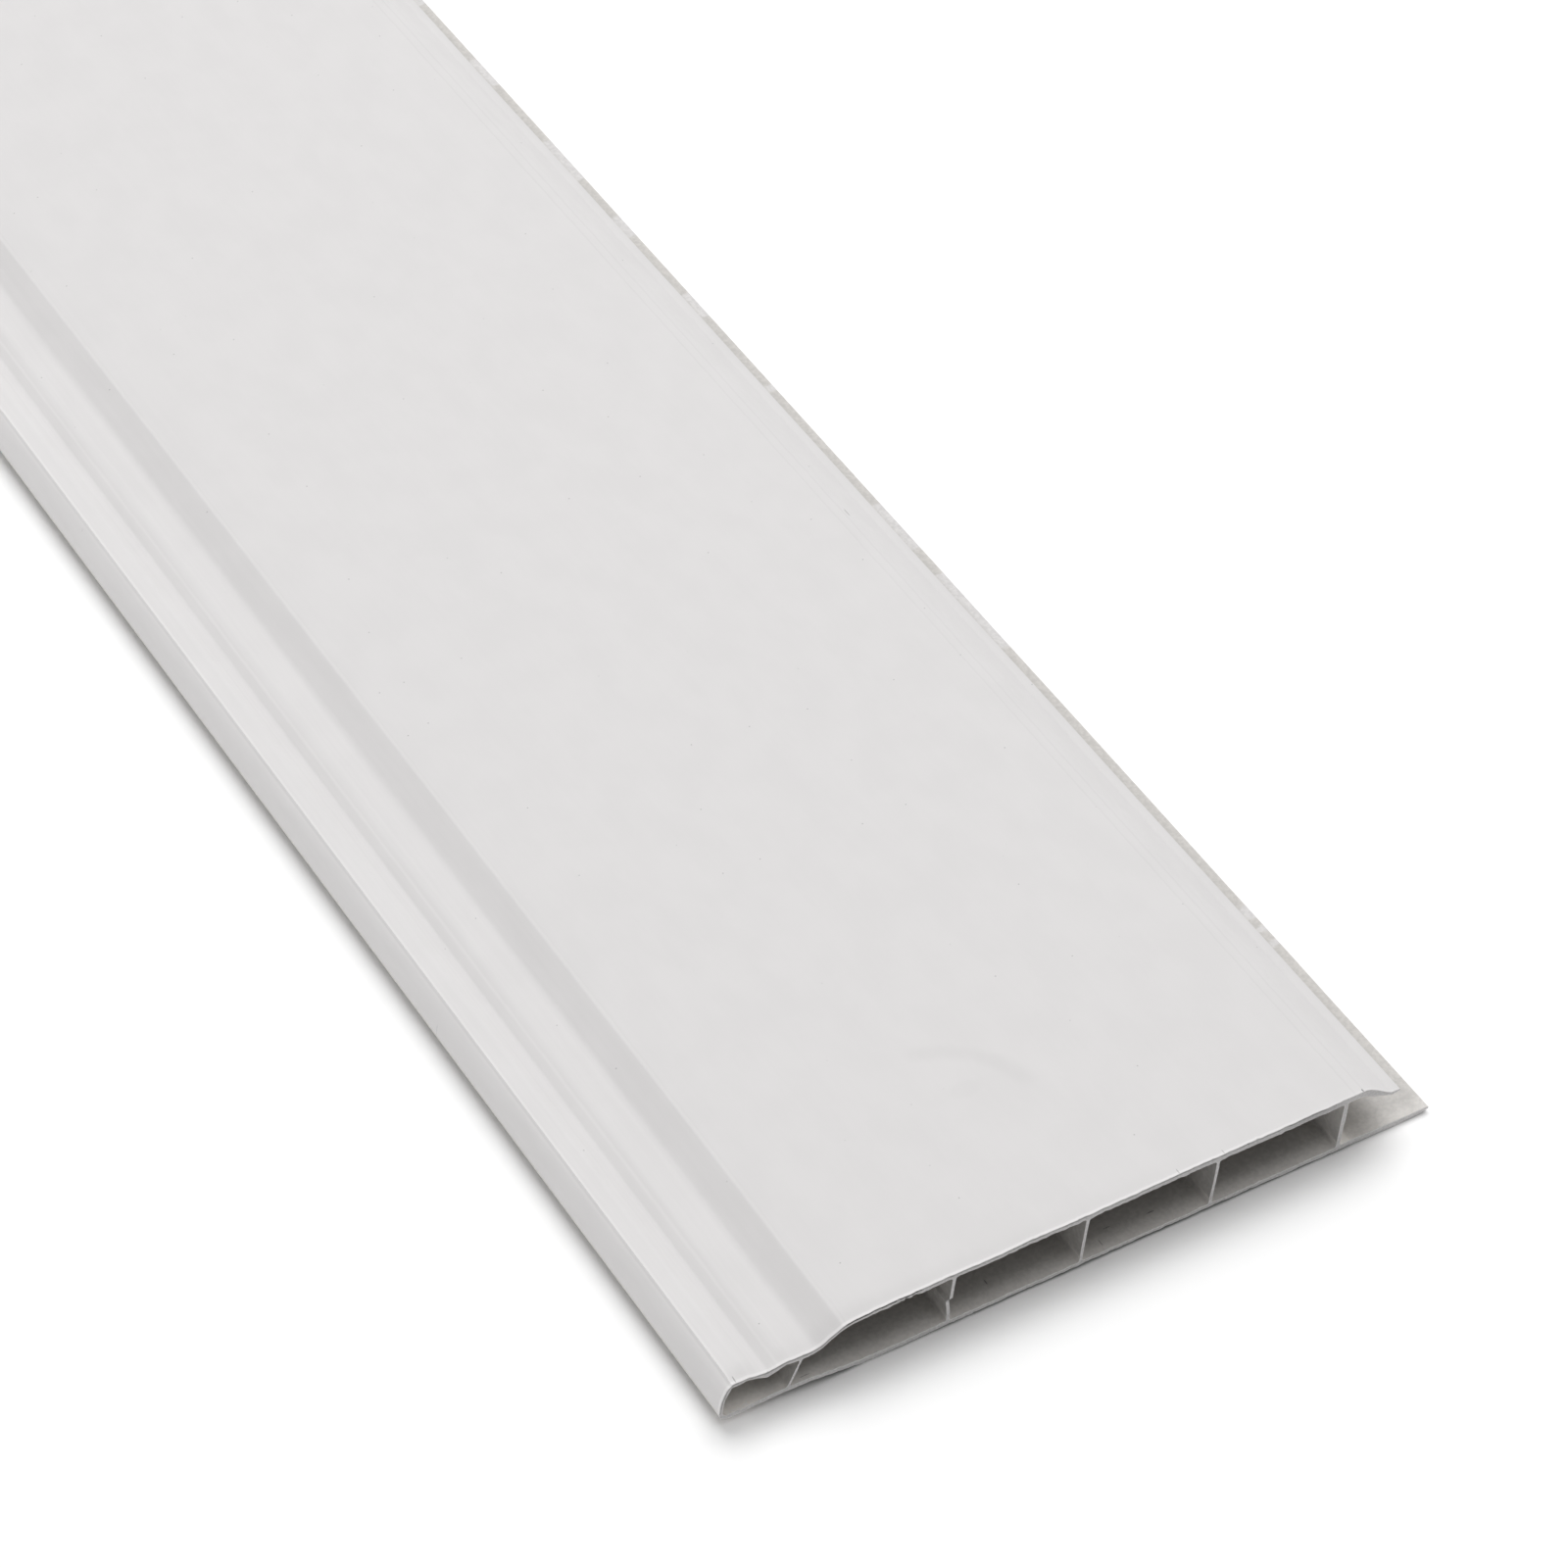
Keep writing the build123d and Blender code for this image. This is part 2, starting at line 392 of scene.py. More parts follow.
def show_face():
    """The line of everything that shows: the nose, the tongue, the slope, the panel and the lip."""
    lip = [
        (cover_width + lip_bend_run, board_thickness),
        (cover_width + lip_hook_run, lip_hook_height),
        (cover_width + lip_reach, lip_tip_under + lip_tip_thickness),
    ]
    face = rounded(face_corners + lip, face_radii + [lip_bend_radius, lip_hook_radius])
    nose = tangent_arc((0, nose_flat_top), crease)
    places = [x + side * half_width for x, half_width, _, _ in face_lines for side in (-1, 0, 1)]
    return with_places(nose[:-1] + face, places)


def outer_loop():
    """The board's outline: the show face, then back through the groove and along the back."""
    show = show_face()
    rest = rounded(
        [
            show[-1],
            (cover_width + lip_reach, lip_tip_under),
            (cover_width + valley[0], valley[1] + joint_clearance),
            (lip_root_x, groove_ceiling),
            on_web(webs[-1], 1, groove_ceiling),
            on_web(webs[-1], 1, flange_thickness),
            (overall_width, flange_thickness),
            (overall_width, flange_thickness - flange_edge_thickness),
            (overall_width - flange_taper, 0),
            (ramp_end, 0),
            (ramp_start, tongue_rise),
            (0, tongue_rise),
            show[0],
        ],
        [0, valley_radius, lip_bend_radius, web_fillet, web_fillet]
        + [flange_edge_radius, flange_edge_radius, flange_taper_radius]
        + [ramp_radius, ramp_radius, nose_radius],
    )
    return [shown(point) for point in show] + [hidden(point) for point in rest[1:-1]]


def hollow():
    """The floor and the ceiling of all the cells, as two lines from the nose to the groove."""
    lowered = [(x, z - face_skin) for x, z in face_corners]
    over_panel = rounded(lowered + [(cover_width, groove_ceiling)], face_radii)
    ceiling = tangent_arc((nose_wall, nose_flat_top), over_panel[0])[:-1] + over_panel
    floor = rounded(
        [
            (nose_wall, nose_flat_top),
            (nose_wall, tongue_rise + tongue_floor),
            (ramp_start, tongue_rise + tongue_floor),
            (ramp_end, back_skin),
            (cover_width, back_skin),
        ],
        [nose_radius - nose_wall, ramp_radius, ramp_radius],
    )
    return floor, ceiling


def cell_loop(floor, ceiling, number):
    """The cell to the left of the web of that number. The first has no web on its left."""
    left, right = webs[number - 1] if number else None, webs[number]
    floor, ceiling = stretch(floor, left, right), stretch(ceiling, left, right)
    right_wall, left_wall = [floor[-1], ceiling[-1]], [ceiling[0], floor[0]]
    if number == torn_web:
        right_wall[1:1] = [on_web(right, -1, z) for z in (tear_low, tear_high)]
    if number == torn_web + 1:
        left_wall[1:1] = [on_web(left, 1, z) for z in (tear_high, tear_low)]
    if number:
        loop = ring([floor, right_wall, ceiling[::-1], left_wall], [web_fillet] * 4)
    else:
        loop = ring([floor, right_wall, ceiling[::-1]], [web_fillet, web_fillet, 0])
    return [hidden(point) for point in loop]


def section():
    """Every loop, and the side of the torn web that it runs along: -1 left, 1 right or 0 for none.

    A loop's points are x, z, how white they are, 1 on the show face and 0 elsewhere, and how much
    lighter they are painted, for painted light and shade."""
    loops = [(outer_loop(), 0)]
    floor, ceiling = hollow()
    for number in range(len(webs)):
        side = {torn_web: -1, torn_web + 1: 1}.get(number, 0)
        loops.append((cell_loop(floor, ceiling, number), side))
    return loops


def parts_of(loop, longest):
    """How many equal parts each piece of a closed loop is cut into, none longer than that."""
    return [max(1, math.ceil((q - p).xy.length / longest)) for p, q in zip(loop, loop[1:] + loop[:1])]


def cut_up(loop, parts):
    """A closed loop with each of its pieces cut into equal parts."""
    return [
        start.lerp(end, step / count)
        for start, end, count in zip(loop, loop[1:] + loop[:1], parts)
        for step in range(count)
    ]


def stations():
    """Every distance along the board at which the section is repeated, and whether it is fine there."""
    near = FINE_STATIONS + COARSE_STATIONS
    run = board_length - 2 * near[-1]
    count = round(run / MIDDLE_STEP)
    middle = [near[-1] + run * step / count for step in range(1, count)]
    along = near + middle + [board_length - place for place in reversed(near)]
    return [(place, min(place, board_length - place) <= FINE_STATIONS[-1]) for place in along]


def wander(seed, along, length):
    """Smooth seeded noise along the board, from about -0.5 to 0.5."""
    return noise.noise(Vector((seed, along / length, 0.5)))


def unevenness(x, row, waves, seeds, near):
    """Smooth seeded noise across an end, from about -0.5 to 0.5, in one row of it."""
    return noise.noise(Vector((x * waves, row, seeds[0] if near else seeds[1])))


def eased(value, start, end):
    """0 up to start and 1 from end on, turning smoothly between them."""
    share = min(max((value - start) / (end - start), 0), 1)
    return share * share * (3 - 2 * share)


def sawn_depth(x, z, near):
    """How far the sawn face lies inside the board's end: saw marks, a dragged edge and small chips."""
    marks = unevenness(x, z * mark_waves[1], mark_waves[0], mark_seeds, near) + 0.5
    drag = unevenness(x, z * drag_waves[1], drag_waves[0], drag_seeds, near) + 0.5
    grit = unevenness(x, z * grit_waves[1], grit_waves[0], grit_seeds, near)
    depth = saw_depth * (mark_share * marks + drag_share * drag)
    depth += chip_depth * max(0, grit - grit_level)
    depth *= 1 - lip_cut_cleaner * eased(x, cover_width, cover_width + lip_reach)
    if near and torn_patch[0] < x < torn_patch[1] and z > board_thickness / 2:
        torn = torn_patch_depth * max(0, grit - torn_patch_level)
        depth += torn * eased(z, board_thickness, board_thickness - face_skin)
    return max(0, depth)


def cut_relief(x, z, white, from_end, near):
    """What the saw did near an end: a point's new z, and how far it moves inwards along the board."""
    if from_end < edge_break_run and z < back_skin:
        rough = unevenness(x, edge_break_row, edge_break_waves, edge_break_seeds, near)
        lifted = 1 - eased(from_end, edge_break_full, edge_break_run)
        lifted *= float(np.interp(x, *zip(*edge_breaks))) * (1 + edge_break_raggedness * rough)
        z += lifted * (1 - eased(z, 0, back_skin))
    if from_end < burr_width and not white and crease[1] - face_skin < z < board_thickness:
        z -= cell_burr * max(0, unevenness(x, cell_burr_row, cell_burr_waves, cell_burr_seeds, near))
    if from_end >= FINE_STATIONS[-1]:
        return z, 0
    return z, sawn_depth(x, z, near) * (1 - from_end / FINE_STATIONS[-1])


def die_relief(x, along, z):
    """What the die did: the x of a point of the unsteady slope, flange edge or lip."""
    slope = eased(x, recess[0], slope_foot[0]) * (1 - eased(x, slope_head[0], panel_x))
    slope *= eased(z, back_skin, recess[1] - face_skin)
    x += slope_wander * slope * wander(slope_wander_seed, along, slope_wander_length)
    flange = eased(x, overall_width - flange_wander_run, overall_width)
    in_and_out = wander(flange_wander_seed, along, edge_wander_length)
    x -= edge_wander * flange * max(0, flange_wander_offset + in_and_out)
    if z > board_thickness / 2:
        lip = eased(x, cover_width + lip_bend_run, cover_width + lip_reach)
        x += edge_wander * lip * wander(lip_wander_seed, along, edge_wander_length)
    return x


def face_relief(x, z, from_end):
    """The z of a point of the show face: folded down near an end, with the die's fine lines."""
    fold = float(np.interp(x, *zip(*edge_folds))) * (1 - eased(from_end, 0, edge_fold_run))
    z -= fold * eased(z, crease[1] - face_skin, crease[1])
    burr_and_highlight = 1 - eased(from_end, FINE_STATIONS[1], burr_width)
    z -= face_drop * (1 - burr_and_highlight) * eased(z, crease[1], board_thickness)
    for line_x, half_width, depth, _ in face_lines:
        z -= depth * max(0, 1 - abs(x - line_x) / half_width)
    return z


def bent_aside(x, along, z):
    """The x of a point on the torn web's two stubs, which lean towards the tongue."""
    fade = math.sqrt(1 - along / tear_depth)
    if z < (tear_low + tear_high) / 2:
        return x - lower_stub_shift * fade * (z / tear_low) ** 2
    return x - upper_stub_shift * fade * (board_thickness - z) / (board_thickness - tear_high)


def relieved(x, along, z, white, torn):
    """A point of the nominal section, moved by the relief: its new x, along and z."""
    from_end = min(along, board_length - along)
    near = along < board_length / 2
    z, inwards = cut_relief(x, z, white, from_end, near)
    along += inwards if near else -inwards
    x = die_relief(x, along, z)
    if white > 0.5:
        z = face_relief(x, z, from_end)
    if torn and along < tear_depth:
        x = bent_aside(x, along, z)
    return x, along, z


class Board:
    """The mesh as it grows: points in the frame's metres, their values, and faces.

    white is 1 on the show face; another value is how much lighter a point is painted, for painted light and
    shade; another is 1 where the saw raised a burr, painted lighter as a highlight; depth is how far a sawn
    point lies under the show face and rim how far from any edge."""

    def __init__(self):
        self.points, self.faces, self.sawn = [], [], []
        self.values = {"white": [], "tint": [], "fresh": [], "depth": [], "rim": []}

    def add_point(self, x, along, z, **values):
        self.points.append(low_corner + Vector((x, along, z)) * MM)
        for name, kept in self.values.items():
            kept.append(values.get(name, 0.0))
        return len(self.points) - 1

    def add_face(self, *corners, sawn=False):
        self.faces.append(corners)
        self.sawn.append(sawn)


def join_alike(board, here, there, left_out):
    """Faces between two rows of as many points, apart from the one left out."""
    for n in range(len(here)):
        if n != left_out:
            m = (n + 1) % len(here)
            board.add_face(here[n], here[m], there[m], there[n])


def join_unlike(board, here, there, starts, left_out):
    """Faces between a fine and a coarse row, as a fan over each of the coarse row's pieces."""
    here_is_fine = len(here) > len(there)
    fine, coarse = (here, there) if here_is_fine else (there, here)
    for n in range(len(coarse)):
        if n == left_out:
            continue
        piece = [fine[k % len(fine)] for k in range(starts[n], starts[n + 1] + 1)]
        left, right = coarse[n], coarse[(n + 1) % len(coarse)]
        middle = len(piece) // 2
        triangles = [(piece[k], piece[k + 1], left) for k in range(middle)]
        triangles.append((piece[middle], right, left))
        triangles += [(piece[k], piece[k + 1], right) for k in range(middle, len(piece) - 1)]
        for triangle in triangles:
            board.add_face(*(triangle if here_is_fine else triangle[::-1]))


def distance_to(spots, starts, ends):
    """The distance from each spot to the nearest of the edges."""
    run = ends - starts
    offset = spots[:, None] - starts
    length_squared = np.maximum((run * run).sum(1), NO_LENGTH_SQUARED)
    share = np.clip((offset * run).sum(2) / length_squared, 0, 1)
    return np.linalg.norm(offset - share[:, :, None] * run, axis=2).min(1)


def is_inside(spots, starts, ends):
    """Whether each spot lies in the board's material, with an odd number of edges to its right."""
    x, z = spots[:, 0, None], spots[:, 1, None]
    crosses = (starts[:, 1] > z) != (ends[:, 1] > z)
    with np.errstate(divide="ignore", invalid="ignore"):
        meets = starts[:, 0] + (z - starts[:, 1]) * (ends - starts)[:, 0] / (ends - starts)[:, 1]
    return (crosses & (meets > x)).sum(1) % 2 == 1


def strewn_spots(starts, ends, near):
    """Spots strewn evenly over the board's material, clear of its edges."""
    rng = np.random.default_rng(CAP_SEEDS[0] if near else CAP_SEEDS[1])
    grid = np.mgrid[0:overall_width:CAP_STEP, 0:board_thickness:CAP_STEP].reshape(2, -1).T
    grid = grid + rng.uniform(-CAP_SCATTER, CAP_SCATTER, grid.shape) * CAP_STEP
    grid = grid[is_inside(grid, starts, ends)]
    return grid[distance_to(grid, starts, ends) > CAP_MARGIN]


def close_end(board, edges, near):
    """The sawn face across one end, over the board's points that the edges join."""
    rim = sorted({corner for edge in edges for corner in edge})
    place = {corner: n for n, corner in enumerate(rim)}
    joined = [(place[a], place[b]) for a, b in edges]
    local = np.array([(board.points[corner] - low_corner) / MM for corner in rim])[:, [0, 2]]
    starts, ends = local[[a for a, _ in joined]], local[[b for _, b in joined]]
    white = board.values["white"]
    on_show = np.array([white[a] > 0.5 and white[b] > 0.5 for a, b in edges])
    show_edges = starts[on_show], ends[on_show]

    corners = list(rim)
    strewn = strewn_spots(starts, ends, near)
    depths, rims = distance_to(strewn, *show_edges), distance_to(strewn, starts, ends)
    for (x, z), depth, from_rim in zip(strewn, depths, rims):
        inwards = sawn_depth(x, z, near)
        along = inwards if near else board_length - inwards
        corners.append(board.add_point(x, along, z, depth=depth, rim=from_rim))
    for corner, depth in zip(rim, distance_to(local, *show_edges)):
        board.values["depth"][corner] = depth

    spots = np.concatenate([local, strewn])
    found = delaunay_2d_cdt([Vector(spot) for spot in spots], joined, [], 0, WELD_DISTANCE, True)
    _, _, triangles, sources, _, _ = found
    triangles = np.array([[sources[k][0] for k in triangle] for triangle in triangles])
    triangles = triangles[is_inside(spots[triangles].mean(1), starts, ends)]
    for a, b, c in triangles.tolist():
        (ab_x, ab_z), (ac_x, ac_z) = spots[b] - spots[a], spots[c] - spots[a]
        turns_left = ab_x * ac_z > ab_z * ac_x
        order = (a, b, c) if turns_left == near else (a, c, b)
        board.add_face(*(corners[k] for k in order), sawn=True)


def add_row(board, loop, along, side):
    """The loop's points at one place along the board. Returns their numbers."""
    # Where the saw raised a burr, which the skin paints with a highlight
    fresh = min(along, board_length - along) < burr_width
    row = []
    for x, z, white, tint in loop:
        torn = side and abs(x - on_web(webs[torn_web], side, z).x) < web_fillet
        moved = relieved(x, along, z, white, torn)
        row.append(board.add_point(*moved, white=white, tint=tint, fresh=fresh * white))
    return row


def sweep(board, loop, side):
    """Sweeps a loop from end to end, and leaves the tear open in a wall of the torn web.

    Returns the edges at the near end and at the far end, and the tear's two corners in each row."""
    coarse = cut_up(loop, parts_of(loop, COARSE_STEP))
    fine_parts = parts_of(coarse, FINE_STEP)
    fine = cut_up(coarse, fine_parts)
    starts = [0] + np.cumsum(fine_parts).tolist()
    tear = None
    if side:
        first = on_web(webs[torn_web], side, tear_low if side < 0 else tear_high)
        tear = min(range(len(coarse)), key=lambda n: (coarse[n].xy - first).length)

    rows = [(add_row(board, fine if is_fine else coarse, along, side), along, is_fine)
            for along, is_fine in stations()]
    for (here, along, is_fine), (there, _, _) in zip(rows, rows[1:]):
        piece = tear if along < tear_depth else None
        if len(here) != len(there):
            join_unlike(board, here, there, starts, piece)
        else:
            join_alike(board, here, there, starts[piece] if piece is not None and is_fine else piece)

    corners = []
    for row, along, is_fine in rows:
        if side and along <= tear_depth:
            first = starts[tear] if is_fine else tear
            corners.append((row[first], row[first + 1]))
    near, far = [list(zip(row, row[1:] + row[:1])) for row, _, _ in (rows[0], rows[-1])]
    return [edge for edge in near if edge not in corners], far, corners


def close_tear(board, left_side, right_side):
    """The torn faces of the web's two stubs and of the tear's end. Returns their edges at the near end."""
    for (a, b), (d, c), (a2, b2), (d2, c2) in zip(left_side, right_side, left_side[1:], right_side[1:]):
        board.add_face(a, c, c2, a2, sawn=True)
        board.add_face(d, b, b2, d2, sawn=True)
    (a, b), (d, c) = left_side[-1], right_side[-1]
    board.add_face(a, c, d, b, sawn=True)
    (a, b), (d, c) = left_side[0], right_side[0]
    return [(a, c), (d, b)]


def build_board():
    """The whole board: its loops swept from end to end, the tear in its web, and both sawn faces."""
    board = Board()
    near_edges, far_edges, tear_sides = [], [], []
    for loop, side in section():
        near, far, corners = sweep(board, loop, side)
        near_edges += near
        far_edges += far
        if side:
            tear_sides.append(corners)
    near_edges += close_tear(board, *tear_sides)
    close_end(board, near_edges, True)
    close_end(board, far_edges, False)
    return board


def board_object(board, materials):
    mesh = bpy.data.meshes.new("soffit_board_finish")
    mesh.from_pydata(board.points, [], board.faces)
    for name, values in board.values.items():
        mesh.attributes.new(name, "FLOAT", "POINT").data.foreach_set("value", values)
    mesh.polygons.foreach_set("use_smooth", [True] * len(mesh.polygons))
    mesh.polygons.foreach_set("material_index", [int(sawn) for sawn in board.sawn])
    for material in materials:
        mesh.materials.append(material)
    mesh.set_sharp_from_angle(angle=SHARP_ANGLE)
    piece = bpy.data.objects.new("soffit_board_finish", mesh)
    bpy.context.collection.objects.link(piece)
    return piece


class Shading:
    """The nodes of a material or world as they grow. Each value handed to it is a socket or a number."""

    def __init__(self, owner):
        owner.use_nodes = True
        self.nodes = owner.node_tree.nodes
        self.link = owner.node_tree.links.new

    def feed(self, socket, value):
        if isinstance(value, bpy.types.NodeSocket):
            self.link(value, socket)
        else:
            socket.default_value = value

    def node(self, kind, *values, **settings):
        """A new node with these settings. Its first inputs are fed with the values."""
        node = self.nodes.new("ShaderNode" + kind)
        for name, setting in settings.items():
            setattr(node, name, setting)
        for socket, value in zip(node.inputs, values):
            self.feed(socket, value)
        return node

    def math(self, operation, *values):
        return self.node("Math", *values, operation=operation).outputs[0]

    def vector(self, operation, *values):
        node = self.node("VectorMath", *values, operation=operation)
        return node.outputs["Value" if operation in ("LENGTH", "DISTANCE") else "Vector"]

    def toned(self, colour, factor):
        """The colour times a value."""
        node = self.node("VectorMath", colour, operation="SCALE")
        self.feed(node.inputs["Scale"], factor)
        return node.outputs[0]

    def mix(self, share, colour, other):
        node = self.node("Mix", data_type="RGBA")
        for name, value in (("Factor", share), ("A", colour), ("B", other)):
            self.feed(node.inputs[name], value)
        return node.outputs["Result"]

    def attribute(self, name):
        return self.node("Attribute", attribute_name=name).outputs["Fac"]

    def together(self, operation, values):
        """The values joined one after another."""
        result = values[0]
        for value in values[1:]:
            result = self.math(operation, result, value)
        return result

    def total(self, *values):
        return self.together("ADD", values)

    def product(self, *values):
        return self.together("MULTIPLY", values)

    def largest(self, *values):
        return self.together("MAXIMUM", values)

    def less(self, value, taken):
        """The value without what is taken from it."""
        return self.math("SUBTRACT", value, taken)

    def ramp(self, value, start, end, low=0.0, high=1.0):
        """low up to start and high from end on, turning smoothly between them."""
        node = self.node("MapRange", value, start, end, low, high, interpolation_type="SMOOTHSTEP")
        return node.outputs["Result"]

    def fall(self, value, start, end, high=1.0):
        """high up to start and 0 from end on."""
        return self.ramp(value, start, end, high, 0.0)

    def window(self, value, start, end, soft):
        """1 from start to end and 0 outside, with soft ends."""
        opens = self.ramp(value, start - soft, start + soft)
        return self.product(opens, self.fall(value, end - soft, end + soft))

    def noise(self, place, waves, detail):
        """Smooth noise from 0 to 1, with that many waves to the millimetre across, along and up."""
        node = self.node("TexNoise", self.vector("MULTIPLY", place, waves))
        node.inputs["Scale"].default_value = 1.0
        node.inputs["Detail"].default_value = detail
        return node.outputs["Fac"]

    def place(self):
        """The point in the section's millimetres: x from the nose, along, and z from the back."""
        node = self.node("TexCoord")
        from_corner = self.vector("SUBTRACT", node.outputs["Object"], tuple(low_corner))
        return self.vector("MULTIPLY", from_corner, (1 / MM, 1 / MM, 1 / MM))

    def parts(self, vector):
        return self.node("SeparateXYZ", vector).outputs


def pores(shading, place):
    """Small dark pores, strewn thinly over the face."""
    cells = shading.node("TexVoronoi", place, voronoi_dimensions="2D")
    cells.inputs["Scale"].default_value = 1 / PORE_SPACING
    inner, outer = [share * PORE_RADIUS / PORE_SPACING for share in PORE_EDGE]
    dark = shading.fall(cells.outputs["Distance"], inner, outer)
    return shading.product(dark, shading.ramp(cells.outputs["Color"], *PORE_CHOICE), PORE_STRENGTH)


def hairs(shading, place, marks):
    """The strength of each of the marks, seen from above."""
    level = shading.vector("MULTIPLY", place, (1, 1, 0))
    found = []
    for mark_x, mark_along, half_width, half_length, strength in marks:
        offset = shading.vector("SUBTRACT", level, (mark_x, mark_along, 0))
        stretched = shading.vector("MULTIPLY", offset, (1 / half_width, 1 / half_length, 0))
        near = shading.fall(shading.vector("LENGTH", stretched), *HAIR_EDGE)
        found.append(shading.product(near, strength))
    return found


def smudge(shading, place):
    """A faint smudge, a quarter of a ring."""
    x, along, _ = shading.parts(place)
    level = shading.vector("MULTIPLY", place, (1, 1, 0))
    off_centre = shading.vector("DISTANCE", level, (*SMUDGE_CENTRE, 0))
    off_ring = shading.math("ABSOLUTE", shading.less(off_centre, SMUDGE_RADIUS))
    return shading.product(
        shading.fall(off_ring, *SMUDGE_WIDTH),
        shading.ramp(x, *[SMUDGE_CENTRE[0] + run for run in SMUDGE_X_FADES]),
        shading.ramp(along, *[SMUDGE_CENTRE[1] + run for run in SMUDGE_ALONG_FADES]),
        SMUDGE_STRENGTH,
    )


def dark_marks(shading, place, white, inside):
    """How much darker pores, the smudge, hairs and nicks make the face, and swarf the cells' floors."""
    z = shading.parts(place)[2]
    found = shading.largest(pores(shading, place), smudge(shading, place), *hairs(shading, place, MARKS))
    swarf = shading.product(shading.largest(*hairs(shading, place, SWARF)), inside)
    on_floor = shading.fall(z, *SWARF_LEVEL)
    return shading.total(shading.product(found, white), shading.product(swarf, on_floor))


def bare_patches(shading, place):
    """Where the flange's strip beyond the lip is white, with rough ends, without the stain and its painted
    shade.
    """
    x, along, z = shading.parts(place)
    rough = shading.noise(place, *PATCH_NOISE)
    shifted = shading.total(along, shading.product(rough, PATCH_ROUGHNESS))
    found = [shading.window(shifted, start, end, PATCH_SOFT) for start, end in PATCHES]
    further = shading.ramp(shading.noise(place, *FURTHER_PATCH_NOISE), *FURTHER_PATCH_LEVELS)
    beyond = shading.ramp(shifted, *[PATCHES[-1][1] + gap for gap in FURTHER_PATCH_GAPS])
    found.append(shading.product(further, beyond))
    on_strip = shading.ramp(x, *PATCH_STARTS, 0.0, PATCH_SHARE)
    return shading.product(shading.largest(*found), on_strip, shading.fall(z, *ON_FLANGE))


def stained_and_shaded(shading, place, patches, inside):
    """How much darker the flange's bare strip is, apart from its patches: a stain with painted shade darkest
    beside the lip, less a painted highlight along its rim.
    """
    x, _, z = shading.parts(place)
    # A stain with painted shade from the lip, less a painted highlight along the rim
    stain_and_shade = shading.fall(x, *STAIN_AND_SHADE_ENDS, STAIN_AND_SHADE_DARKER)
    stain_and_shade = shading.less(stain_and_shade, shading.ramp(x, RIM_HIGHLIGHT_STARTS, overall_width, 0.0, RIM_HIGHLIGHT))
    return shading.product(stain_and_shade, shading.fall(z, *ON_FLANGE), shading.less(1.0, patches), inside)


def painted_inner_light(shading, place):
    """How much lighter a hidden surface is painted: painted light pooled on the cells' floors at the near
    end, painted shade on the walls and deeper inside, and painted light through the thin nose and on the
    groove's back.
    """
    x, along, z = shading.parts(place)
    # Painted light pooled on the floors close to the near end, and painted shade on the walls
    opening_light = shading.fall(along, 0.0, OPENING_LIGHT_REACH, OPENING_LIGHT)
    on_floor = shading.window(z, *OPENING_LIGHT_LEVELS, OPENING_LIGHT_SOFT)
    wall_shade = shading.ramp(z, *WALL_FADES, 0.0, WALL_SHADE)
    opening_light = shading.less(shading.product(opening_light, on_floor), wall_shade)
    opening_light = shading.product(opening_light, shading.ramp(x, *FLANGE_OPENING_LIGHT_FADES, 1.0, FLANGE_OPENING_LIGHT))
    groove_back = shading.window(x, *GROOVE_BACK, GROOVE_BACK_SOFT)
    glow_and_shade = shading.total(
        shading.ramp(x, bump[0], tongue_web_x, THIN_NOSE_GLOW, -INSIDE_SHADE),
        shading.ramp(x, *GROOVE_FADES, 0.0, INSIDE_SHADE),
        shading.product(groove_back, GROOVE_BACK_LIGHT),
    )
    return shading.total(opening_light, glow_and_shade)


def new_pvc(name, roughness):
    """A material of that name, its nodes and the socket for its colour."""
    material = bpy.data.materials.new(name)
    shading = Shading(material)
    shader = shading.nodes["Principled BSDF"]
    shader.inputs["Roughness"].default_value = roughness
    shader.inputs["IOR"].default_value = PVC_IOR
    return material, shading, shader.inputs["Base Color"]


def skin_material():
    """Extruded PVC with a satin skin, white on the show face and a warm grey elsewhere."""
    material, shading, base_colour = new_pvc("white_pvc", SKIN_ROUGHNESS)
    place = shading.place()
    x, _, _ = shading.parts(place)
    white = shading.attribute("white")
    inside = shading.less(1.0, white)
    patches = bare_patches(shading, place)
    colour = shading.mix(shading.largest(white, patches), BODY_COLOUR, FACE_COLOUR)

    # Painted highlight on the burr along the sawn ends
    burr_and_highlight = shading.ramp(shading.attribute("fresh"), 0.0, 1.0, 0.0, BURR_HIGHLIGHT)
    mottle = shading.ramp(shading.noise(place, *MOTTLE_NOISE), *NOISE_SPAN, -MOTTLE, MOTTLE)
    scuffs = shading.ramp(shading.noise(place, *SCUFF_NOISE), *NOISE_SPAN, -SCUFF, SCUFF)
    streaks = shading.ramp(shading.noise(place, *STREAK_NOISE), *STREAK_SPAN, -STREAK, STREAK)
    on_tongue = shading.ramp(x, slope_foot[0], panel_x, 1.0, STREAK_ON_PANEL)
    tone = shading.total(
        shading.less(1.0, dark_marks(shading, place, white, inside)),
        # Painted light and shade across the show face
        shading.attribute("tint"),
        shading.product(burr_and_highlight, shading.ramp(x, *BURR_FADES, 1.0, BURR_HIGHLIGHT_LEFT)),
        mottle,
        shading.product(scuffs, inside),
        shading.product(streaks, on_tongue, white),
        # Painted light and shade inside the cells and the groove
        shading.product(painted_inner_light(shading, place), inside),
    )
    tone = shading.less(tone, stained_and_shaded(shading, place, patches, inside))
    shading.link(shading.toned(colour, tone), base_colour)
    return material


